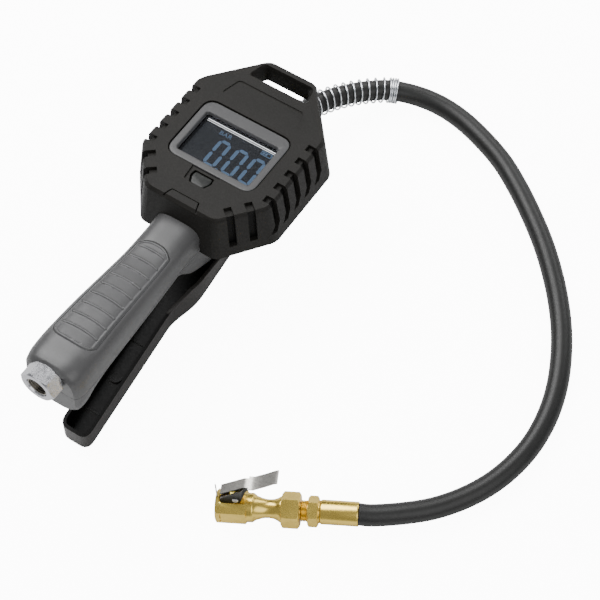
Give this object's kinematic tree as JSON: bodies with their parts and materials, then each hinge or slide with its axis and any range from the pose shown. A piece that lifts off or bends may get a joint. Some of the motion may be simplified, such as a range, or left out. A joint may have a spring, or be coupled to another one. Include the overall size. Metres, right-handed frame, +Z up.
{
  "type": "tyre inflator with gauge",
  "caption": "Hand-held digital tyre inflator: gauge head in a rubber boot, squeeze lever under the handle, hose with a clip-on brass chuck.",
  "frame": {"origin": "on the table, under the middle of the tool without its hose: the lever tip and the battery door rest on z = 0", "axes": "+Y along the tool from the air inlet to the hanging loop, +Z up and out of the gauge face, +X to the right as the display is read"},
  "size_m": [0.2706, 0.3009, 0.0979],
  "materials": {
    "boot_rubber": "moulded matte rubber",
    "bezel_grey": "satin moulded",
    "lens_glass": "clear polished window",
    "lcd_black": "dark display glass",
    "black_rubber": "matte",
    "black_plastic": "moulded",
    "button_grey": "moulded",
    "board_green": "solder resist",
    "shell_grey": "satin moulded",
    "pad_grey": "satin soft-touch",
    "lever_plastic": "satin moulded",
    "cell_wrap": "printed sleeve",
    "nickel": "machined, bright",
    "aluminium": "cast, machined",
    "brass": "satin machined",
    "steel": "plain",
    "clip_steel": "brushed sheet",
    "zinc": "bright zinc plate",
    "hose_rubber": "soft matte"
  },
  "bodies": {
    "tool": {"boot": "boot_rubber", "bezel": "bezel_grey", "lens": "lens_glass", "lens_gasket": "black_rubber", "lcd_panel": "lcd_black", "lcd_frame": "bezel_grey", "gauge_front_housing": "black_plastic", "gauge_rear_housing": "black_plastic", "circuit_board": "board_green", "button_switch": "black_plastic", "pressure_sensor": "steel", "sensor_tube": "black_rubber", "gauge_screw_1": "steel", "gauge_screw_2": "steel", "gauge_screw_3": "steel", "gauge_screw_4": "steel", "body_front_shell": "shell_grey", "grip_pad": "pad_grey", "body_rear_shell": "shell_grey", "body_screw_1": "steel", "body_screw_2": "steel", "body_screw_3": "steel", "body_screw_4": "steel", "battery_door": "black_plastic", "battery_1": "cell_wrap", "battery_2": "cell_wrap", "inlet_fitting": "nickel", "inlet_filter": "brass", "air_tube": "black_rubber", "valve_block": "aluminium", "inflate_spring": "steel", "bleed_spring": "steel", "hose_adapter": "brass", "lever_pin": "steel", "pin_clip_1": "steel", "pin_clip_2": "steel", "ferrule": "brass", "hose_tail": "brass", "chuck_body": "brass", "chuck_seal": "black_rubber", "chuck_depressor": "brass", "clip_wire": "steel", "chuck_clip_pin": "steel", "hose": "hose_rubber", "spring_guard": "zinc"},
    "trigger": {"lever": "lever_plastic"},
    "inflate_valve": {"inflate_stem": "brass", "inflate_seal": "black_rubber"},
    "bleed_valve": {"bleed_stem": "brass", "bleed_seal": "black_rubber"},
    "key": {"button": "button_grey"},
    "clip_lever": {"chuck_clip": "clip_steel"}
  },
  "joints": [
    {"name": "trigger", "type": "hinge", "parent": "tool", "child": "trigger", "pos_m": [0, 0.04225, 0.02704], "axis": [-1, 0, 0], "range_deg": [0, 12], "stiffness_Nm_per_rad": 3, "springref_deg": -20.05},
    {"name": "inflate_lift", "type": "slide", "parent": "tool", "child": "inflate_valve", "axis": [0, 0.1478, 0.989], "range_m": [0, 0.0038], "deforming": ["inflate_spring"]},
    {"name": "bleed_lift", "type": "slide", "parent": "tool", "child": "bleed_valve", "axis": [0, 0.1478, 0.989], "range_m": [0, 0.0019], "deforming": ["bleed_spring"]},
    {"name": "key_press", "type": "slide", "parent": "tool", "child": "key", "axis": [0, -0.1478, -0.989], "range_m": [0, 0.0008], "stiffness_N_per_m": 900, "springref_m": -0.0006},
    {"name": "clip_open", "type": "hinge", "parent": "tool", "child": "clip_lever", "pos_m": [0.10084, -0.09664, 0.02012], "axis": [-0.4544, 0.8619, -0.225], "range_deg": [0, 14], "stiffness_Nm_per_rad": 0.3, "springref_deg": -11.46}
  ],
  "couplings": [
    {"joint": "inflate_lift", "follows": "trigger", "m_per_rad": 0.0178},
    {"joint": "bleed_lift", "follows": "trigger", "m_per_rad": 0.0086}
  ]
}
